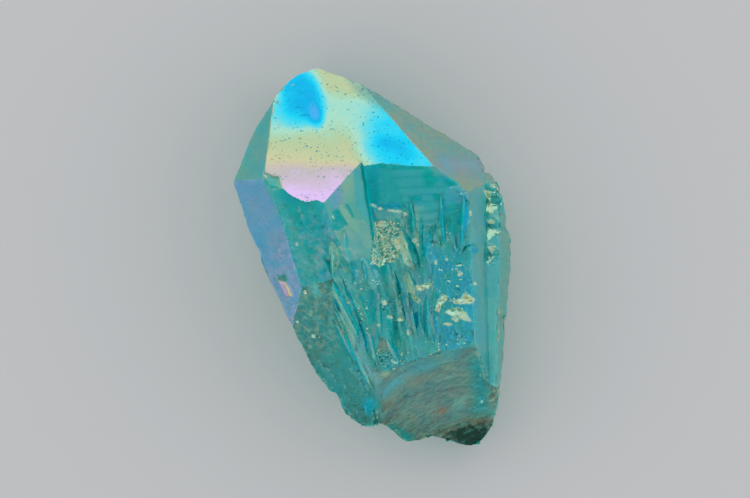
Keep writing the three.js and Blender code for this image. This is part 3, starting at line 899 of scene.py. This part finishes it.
def crests(mesh, points):
    """How far each vertex stands out from its neighbours, in millimetres, or lies below them if negative."""
    pairs = read(mesh.edges, "vertices", 2, np.int32)
    normals = read(mesh.vertices, "normal", 3)
    one, other = np.concatenate([pairs, pairs[:, ::-1]]).T
    number = np.bincount(one, minlength=len(points))
    around = np.stack([np.bincount(one, points[other, a], minlength=len(points)) for a in range(3)], axis=1)
    return ((points - around / number[:, None]) * normals).sum(axis=1)


def set_places(mesh, points):
    mesh.vertices.foreach_set("co", ((points + PLAN_ORIGIN) * MM).astype(np.float32).ravel())
    mesh.update()


def carve(bm, kinds):
    """The finished mesh: every vertex of the fine mesh moved by the relief of the facets it lies on."""
    mesh = bpy.data.meshes.new("coated_crystal")
    bm.verts.index_update()
    bm.normal_update()
    convex = outer_edges(bm)
    bm.to_mesh(mesh)
    points = read(mesh.vertices, "co", 3).astype(float) / MM - PLAN_ORIGIN
    corners = read(mesh.loops, "vertex_index", 1, np.int32)
    corner_normals = np.repeat(read(mesh.polygons, "normal", 3), 3, axis=0)
    facets = read(mesh.attributes["facet"].data, "value", 1, np.int32)
    corner_facets = np.repeat(facets, 3)
    count = len(points)
    resting = points[:, 2] < RESTING_HEIGHT
    points = moved_by_relief(points, corners, corner_normals, corner_facets, kinds)
    set_places(mesh, points)

    normals = read(mesh.vertices, "normal", 3).astype(float)
    total = np.bincount(corners, minlength=count)
    sector = points[:, 0] + SECTOR_SLANT * points[:, 1]
    tint = np.zeros(count)
    rng = random.Random(SEED)

    def wholly_on(names):
        wanted = [k for k, kind in enumerate(kinds) if kind.name in names]
        return np.bincount(corners, np.isin(corner_facets, wanted), minlength=count) == total

    upward = normals[:, 2] > UP_ENOUGH
    grow_main_face(points, upward)
    for shards in SHARDS:
        start, end = shards.sectors
        allowed = (start < sector) & (sector < end) & (points[:, 1] < SHARDS_BELOW) & upward
        chosen = np.flatnonzero(wholly_on(shards.facets) & allowed)
        if len(chosen):
            lay_shards(points, chosen, shards, rng, tint)
    raise_features(points, smooth(RAISED_FROM, RAISED_FULLY, normals[:, 2]))
    sparkle(points, wholly_on(SPARKLING) & upward, tint)
    wear_edges(points, normals, convex)

    points[resting, 2] = 0
    low, high = (np.array(corner) / MM - PLAN_ORIGIN for corner in cad_box)
    points = np.clip(points, low, high)
    set_places(mesh, points)
    on_fan = wholly_on(("fan",))
    tint[on_fan] = ripples(points[on_fan]) * RIPPLE_TINT
    looks = np.array([kind.look for kind in kinds]).T[:, facets]
    middles = points[corners].reshape(-1, 3, 3).mean(axis=1)
    paint_features(middles, smooth(0, PAINTED_FULLY, read(mesh.polygons, "normal", 3)[:, 2]), looks)
    for name, values in zip(Look._fields, looks):
        write(mesh, name, "FACE", values)
    write(mesh, "tint", "POINT", tint)
    write(mesh, "crest", "POINT", crests(mesh, points))
    mesh.shade_smooth()
    mesh.set_sharp_from_angle(angle=SHARP_ANGLE)
    mesh.update()
    return mesh


# ---------------- shader graphs


class Socket:
    """An output of a node. Arithmetic on it adds Math nodes to its tree."""

    def __init__(self, graph, output):
        self.graph = graph
        self.output = output

    def math(self, operation, *inputs):
        return self.graph.node("ShaderNodeMath", {"operation": operation}, dict(enumerate(inputs)))

    def __add__(self, other):
        return self.math("ADD", self, other)

    def __radd__(self, other):
        return self.math("ADD", other, self)

    def __sub__(self, other):
        return self.math("SUBTRACT", self, other)

    def __rsub__(self, other):
        return self.math("SUBTRACT", other, self)

    def __mul__(self, other):
        return self.math("MULTIPLY", self, other)

    def __rmul__(self, other):
        return self.math("MULTIPLY", other, self)


class Graph:
    """The node tree of a material or a world, built by one method."""

    def __init__(self, owner):
        owner.use_nodes = True
        self.tree = owner.node_tree
        self.tree.nodes.clear()

    def node(self, kind, settings=None, inputs=None, output=0):
        """Adds a node, with its settings first and then the values or links of its sockets."""
        node = self.tree.nodes.new(kind)
        for name, value in (settings or {}).items():
            if name == "stops":
                set_stops(node.color_ramp, value)
            else:
                setattr(node, name, value)
        for name, value in (inputs or {}).items():
            if isinstance(value, Socket):
                self.tree.links.new(value.output, node.inputs[name])
            else:
                node.inputs[name].default_value = value
        return Socket(self, node.outputs[output]) if node.outputs else None


def set_stops(ramp, stops):
    while len(ramp.elements) < len(stops):
        ramp.elements.new(1)
    for element, (place, colour) in zip(ramp.elements, stops):
        element.position = place
        element.color = (*colour, 1)


def attribute(graph, name):
    return graph.node("ShaderNodeAttribute", {"attribute_name": name}, output="Fac")


def coordinate(vector, axis):
    return vector.graph.node("ShaderNodeSeparateXYZ", None, {0: vector}, axis)


def mix_colours(factor, first, second):
    inputs = {0: factor, 6: first, 7: second}
    return factor.graph.node("ShaderNodeMix", {"data_type": "RGBA"}, inputs, output=2)


def between(value, low, high, start=0, end=1):
    """value mapped from low..high to start..end with soft ends."""
    settings = {"interpolation_type": "SMOOTHSTEP"}
    inputs = {"Value": value, "From Min": low, "From Max": high, "To Min": start, "To Max": end}
    return value.graph.node("ShaderNodeMapRange", settings, inputs)


def vector_math(operation, first, second, output=0):
    return first.graph.node("ShaderNodeVectorMath", {"operation": operation}, {0: first, 1: second}, output)


def turned(place, degrees):
    """place turned in plan, so that what runs along +X in it runs this many degrees anticlockwise from +X."""
    inputs = {"Vector": place, "Angle": -math.radians(degrees)}
    return place.graph.node("ShaderNodeVectorRotate", {"rotation_type": "Z_AXIS"}, inputs)


def spot(place, centre, radii, turn=0, soft=1):
    """1 in the middle of an ellipsoid, turned in plan by this many degrees, and 0 outside it."""
    reach = vector_math("DIVIDE", turned(vector_math("SUBTRACT", place, centre), turn), radii)
    return between(vector_math("LENGTH", reach, (0, 0, 0), "Value"), 1, 1 - soft)


def noise_texture(place, size, detail=2, stretch=(1, 1, 1)):
    inputs = {"Vector": vector_math("DIVIDE", place, stretch), "Scale": 1 / size, "Detail": detail}
    return place.graph.node("ShaderNodeTexNoise", None, inputs, "Fac")


def streaked(place, facing, size, stretch):
    """Streaks that run this many degrees anticlockwise from +X, from about -0.5 to 0.5."""
    return noise_texture(turned(place, facing), size, 3, stretch) - 0.5


def cell_shades(place, size):
    """A shade of its own for each cell of this size."""
    return place.graph.node("ShaderNodeTexVoronoi", None, {"Vector": place, "Scale": 1 / size}, "Color")


# ---------------- coating

# The run of colours that the film reflects, from thin to thick.
FILM_COLOURS = (
    (0, (0.8, 0.56, 0.93)),
    (0.06, (0.68, 0.53, 0.69)),
    (0.12, (0.58, 0.51, 0.52)),
    (0.18, (0.64, 0.55, 0.44)),
    (0.26, (0.64, 0.62, 0.35)),
    (0.34, (0.5, 0.62, 0.35)),
    (0.4, (0.44, 0.69, 0.46)),
    (0.46, (0.43, 0.75, 0.57)),
    (0.51, (0.33, 0.75, 0.66)),
    (0.56, (0.18, 0.72, 0.76)),
    (0.62, (0.08, 0.72, 0.88)),
    (0.7, (0.015, 0.66, 0.93)),
    (0.82, (0.008, 0.46, 0.82)),
    (1, (0.09, 0.44, 0.9)),
)
# The film on the main face thickens up the slope in bands: where each starts and ends, and by how much.
FILM_BANDS = ((8.8, 12.8, 0.12), (12.4, 14.8, 0.17), (14.6, 22, 0.19), (22.5, 26, -0.16))
# Two pools of thick blue film on it: where they are in the run of colours, centre, radii, turn and softness.
FILM_POOLS = (
    (0.74, (-11.2, 24.6, 17), (4.9, 6.9, 20), 12, 0.6),
    (0.69, (5.4, 17, 20), (9.8, 9.2, 20), -20, 0.55),
)
# Thicker and thinner places in and around the pools: by how much, centre, radii, turn and softness.
FILM_LEFT = (0.14, (-13.5, 21, 17), (5, 4.2, 20))
FILM_CORES = (
    (0.06, (-10.6, 24.4, 17), (3.8, 6.4, 20), 18, 0.8),
    (0.28, (-8.6, 21, 17), (1.9, 3.1, 20), 12),
    (0.1, (2.4, 17, 20), (3.6, 1.7, 20), -14, 0.8),
    (0.05, (5, 15.4, 20), (2.6, 1.2, 20), -14, 0.8),
    (-0.07, (8.6, 14.8, 20), (3, 2.4, 20)),
    (-0.05, (-5.4, 12.4, 20), (3.2, 2.4, 20)),
)
ALIGNED_FROM, ALIGNED_FULLY = 0.955, 0.992
FLASH_FILM = 0.92

BODY_GREEN = (0, 0.54, 0.48, 1)
BODY_BLUE = (0, 0.42, 0.62, 1)
# The dark body colour, also used for the painted shade.
BODY_DARK_AND_SHADE = (0.003, 0.05, 0.036, 1)
# The pale colours, also used for the painted glint specks.
BODY_PALE_AND_GLINT = (0.64, 1, 0.8, 1)
BODY_CREAM_AND_GLINT = (1, 0.9, 0.5, 1)
PAINTED_GLINT_SIZES = (0.19, 0.42)
PAINTED_GLINT_LEAN = 25
# Painted shade on the body, in the lower right corner, on the lower left and along the bottom: centre, radii,
# turn in plan and how dark.
PAINTED_SHADE_PATCHES = (
    ((16.4, -29.4, 8), (6.6, 5.6, 20), 25, 0.6),
    ((12.6, -28.6, 8), (4.4, 3.6, 20), 10, 0.15),
    ((-11.5, -15, 15), (2.6, 8, 20), 28, 0.4),
    ((-4, -27, 15), (14, 9, 30), 0, 0.2),
    ((9, -28.5, 15), (14, 5, 30), 0, 0.2),
)
# Where the main face is chipped, pitted and worn along its upper edge: centre, radii, turn and softness.
CHIP = ((-15.3, 10.9, 20), (1.5, 1.2, 20), -25, 0.25)
PITTED = (((-8, 14.6, 20), (3, 3, 20)), ((-0.6, 24.4, 20), (6.5, 1.7, 20), -38))
WORN_EDGE = ((-0.6, 24.6, 20), (6.5, 1.7, 20), -38, 0.7)
# Mottling of the grey haze on the left side: where it is, and the sizes of its patches.
HAZE = ((-9, -4.5, 20), (9, 13, 30), 0, 0.3)
HAZE_SIZES = (1.1, 0.35)
BODY_ROUGHNESS = 0.32
FILM_ROUGHNESS = 0.2


def main_face_order(place):
    """Where the film on the main pyramid face is in the run of colours."""
    rise = coordinate(place, 1)
    order = sum(between(rise, start, end, 0, change) for start, end, change in FILM_BANDS)
    order = order + spot(place, *FILM_LEFT[1:]) * FILM_LEFT[0]
    for level, *pool in FILM_POOLS:
        order = order + (level - order) * spot(place, *pool)
    for change, *core in FILM_CORES:
        order = order + spot(place, *core) * change
    return order + (noise_texture(place, 3.4) - 0.5) * 0.16


def coating():
    material = bpy.data.materials.new("coated quartz")
    graph = Graph(material)
    metres = graph.node("ShaderNodeTexCoord", output="Object")
    normal = graph.node("ShaderNodeTexCoord", output="Normal")
    place = vector_math("SUBTRACT", vector_math("MULTIPLY", metres, (1 / MM,) * 3), PLAN_ORIGIN)
    names = (*Look._fields, "tint", "crest")
    facet_film, facet_order, facet_blue, facet_dark, glitter, streaks, tint, crest = (
        attribute(graph, name) for name in names
    )
    broad = noise_texture(place, 3, 3)
    fine = noise_texture(place, 0.6, 3)
    across = streaked(place, 36, 0.5, (9, 0.6, 1)) * streaks.math("MAXIMUM", streaks, 0)
    down = streaked(place, 97, 0.6, (7, 0.7, 1)) * streaks.math("MINIMUM", streaks, 0)
    streak = across + down
    # Painted shade from those patches, mottled. It also makes the film duller and greener.
    shade = sum(spot(place, *patch) * share for *patch, share in PAINTED_SHADE_PATCHES)
    shade = shade * between(noise_texture(place, 1.1, 4), 0.35, 0.65, 0.65, 1.35)

    # What lies as the main pyramid face does flashes with it, in the colours of a thicker film.
    aligned = between(vector_math("DOT_PRODUCT", normal, MAIN_NORMAL, "Value"), ALIGNED_FROM, ALIGNED_FULLY)
    aligned = aligned * (1 - spot(place, *CHIP))
    on_point = between(coordinate(place, 1), 6.9, 7.5) * between(coordinate(place, 0), 9.5, 9)
    glint_order = 0.24 + 0.36 * noise_texture(place, 0.8, 1)
    flashing = main_face_order(place) * on_point + glint_order * (1 - on_point)
    dull = facet_order + (broad - 0.5) * 0.2 + tint * 0.1 + streak * 0.3
    order = dull + shade * 0.3 + (flashing - dull) * aligned + (fine - 0.5) * 0.05
    film_colour = graph.node("ShaderNodeValToRGB", {"stops": FILM_COLOURS}, {0: order})

    pit_wanted = noise_texture(place, 2) + sum(spot(place, *area) * 0.25 for area in PITTED)
    pits = between(noise_texture(place, 0.4, 3), 0.37, 0.32) * between(pit_wanted, 0.38, 0.54)
    # Painted glints: pale specks in the body colour, gathered in patches, where the look glitters.
    drawn_out = vector_math("MULTIPLY", turned(place, PAINTED_GLINT_LEAN), (0.6, 1, 1))
    small, large = (cell_shades(drawn_out, size) for size in PAINTED_GLINT_SIZES)
    gathered = between(noise_texture(place, 1.8), 0.46, 0.6) + between(glitter, 0.5, 0.8)
    painted_glints = between(small + glitter * 0.34, 0.86, 0.96) * between(glitter, 0.02, 0.2)
    painted_glints = painted_glints * between(gathered, 0, 1) + between(large, 0.7, 0.74, 0, 0.4) * between(glitter, 0.5, 0.9)

    # How much of the light the film reflects.
    hazy = spot(place, *HAZE)
    haze = noise_texture(place, HAZE_SIZES[0], 3) + noise_texture(place, HAZE_SIZES[1]) * 0.5
    mottle = between(noise_texture(place, 0.9, 4), 0.45, 0.65) * hazy
    film = facet_film * between(broad, 0.3, 0.7, 0.7, 1.3) + between(tint, 0.2, 1, 0, 0.2)
    # More film on the convex edges: a painted highlight along them.
    film = film + between(crest, 0.015, 0.06, 0, 0.22) + streak * 0.25
    film = (film + between(haze, 0.66, 0.9, 0, 0.16) * hazy) * between(shade, 0.1, 0.5, 1, 0.05)
    film = film + (FLASH_FILM - film) * aligned
    film = film * (1 - 0.8 * pits) * (1 - 0.5 * spot(place, *WORN_EDGE))

    # The body under the film: green to blue, darker with painted shade in the hollows and the shade patches,
    # and paler where its look is pale and in specks painted as glints.
    blue = facet_blue + (noise_texture(place, 4) - 0.5) * 0.9 + (fine - 0.5) * 0.8 + tint * 0.25
    # The darkening where the crest lies below its neighbours is painted shade in the hollows.
    dark = facet_dark + between(crest, -0.015, -0.07, 0, 0.25) + shade + (broad - 0.5) * 0.4 - tint * 0.16
    grain = (noise_texture(place, 0.3, 3) - 0.5) * between(glitter, 0, 0.4, 0.7, 2)
    dark = dark - streak * 0.9 + mottle * 0.14 + grain
    pale_and_glints = between(facet_dark, 0, -1) + painted_glints * 0.9
    creamy = between(noise_texture(place, 0.7), 0.42, 0.6, 0, 0.85)
    shaded = mix_colours(dark, mix_colours(blue, BODY_GREEN, BODY_BLUE), BODY_DARK_AND_SHADE)
    body_colour = mix_colours(pale_and_glints, shaded, mix_colours(creamy, BODY_PALE_AND_GLINT, BODY_CREAM_AND_GLINT))

    bump = graph.node("ShaderNodeBump", None, {"Strength": 0.25, "Distance": 0.1 * MM, "Height": fine - pits})
    body_finish = {
        "Base Color": body_colour,
        "Roughness": BODY_ROUGHNESS,
        "IOR": 1.54,
        "Specular IOR Level": 0.1,
        "Subsurface Weight": 0.7,
        "Subsurface Radius": (0.3, 1, 1),
        "Subsurface Scale": 3 * MM,
        "Normal": bump,
    }
    film_finish = {"Base Color": film_colour, "Roughness": FILM_ROUGHNESS, "Metallic": 1, "Normal": bump}
    body = graph.node("ShaderNodeBsdfPrincipled", None, body_finish)
    coat = graph.node("ShaderNodeBsdfPrincipled", None, film_finish)
    surface = graph.node("ShaderNodeMixShader", None, {0: film, 1: body, 2: coat})
    graph.node("ShaderNodeOutputMaterial", None, {"Surface": surface})
    return material


# ---------------- the crystal

bm, kinds = fine_mesh(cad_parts["crystal"])
crystal_mesh = carve(bm, kinds)
bm.free()
crystal_mesh.materials.clear()
crystal_mesh.materials.append(coating())
crystal = placed("coated_crystal", crystal_mesh)
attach(crystal, "root")
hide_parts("crystal")

# ---------------- floor, light and camera

FLOOR_HALF_M = 3
FLOOR_COLOUR = (0.78, 0.785, 0.79, 1)
HORIZON = (0.72, 0.73, 0.75)
BAND = (0.85, 0.86, 0.88)
ZENITH = (0.42, 0.425, 0.43)
SKY = ((0, HORIZON), (0.25, BAND), (0.6, BAND), (0.88, ZENITH))
SOFTBOX_SIZE_M = 0.5
SOFTBOX_DISTANCE_M = 0.9
SOFTBOX_RADIANCE = 0.2
CAMERA_PLACE_M = (0.00016, 0.00146, 0.656)
LENS = 200
SENSOR = 36


def make_floor():
    grid = bmesh.new()
    bmesh.ops.create_grid(grid, x_segments=1, y_segments=1, size=FLOOR_HALF_M)
    mesh = bpy.data.meshes.new("floor")
    grid.to_mesh(mesh)
    grid.free()
    material = bpy.data.materials.new("pale paper")
    graph = Graph(material)
    paper = graph.node("ShaderNodeBsdfPrincipled", None, {"Base Color": FLOOR_COLOUR, "Roughness": 0.9})
    graph.node("ShaderNodeOutputMaterial", None, {"Surface": paper})
    mesh.materials.append(material)
    floor = placed("floor", mesh)
    floor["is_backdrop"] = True


def make_world():
    """A pale room that is brightest halfway up and dark overhead."""
    world = bpy.data.worlds.new("room")
    graph = Graph(world)
    up = coordinate(graph.node("ShaderNodeTexCoord", output="Generated"), 2)
    sky = graph.node("ShaderNodeValToRGB", {"stops": SKY}, {0: up})
    light = graph.node("ShaderNodeBackground", None, {"Color": sky, "Strength": 1})
    graph.node("ShaderNodeOutputWorld", None, {"Surface": light})
    bpy.context.scene.world = world


def make_softbox():
    """The lamp that the main pyramid face mirrors towards the camera."""
    mirrored = 2 * MAIN_NORMAL.z * MAIN_NORMAL - Vector((0, 0, 1))
    lamp = bpy.data.lights.new("softbox", "AREA")
    lamp.shape = "SQUARE"
    lamp.size = SOFTBOX_SIZE_M
    lamp.energy = SOFTBOX_RADIANCE * math.pi * SOFTBOX_SIZE_M**2
    softbox = placed("softbox", lamp)
    softbox.location = mirrored * SOFTBOX_DISTANCE_M
    softbox.rotation_euler = mirrored.to_track_quat("Z", "Y").to_euler()


def make_camera():
    data = bpy.data.cameras.new("camera")
    data.lens = LENS
    data.sensor_width = SENSOR
    camera = placed("camera", data)
    camera.location = CAMERA_PLACE_M
    bpy.context.scene.camera = camera


make_floor()
make_world()
make_softbox()
make_camera()
bpy.context.scene.view_settings.view_transform = "Standard"

boxes = {"cad": cad_box, "visual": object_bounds()}
{name: [list(corner) for corner in box] for name, box in boxes.items()}
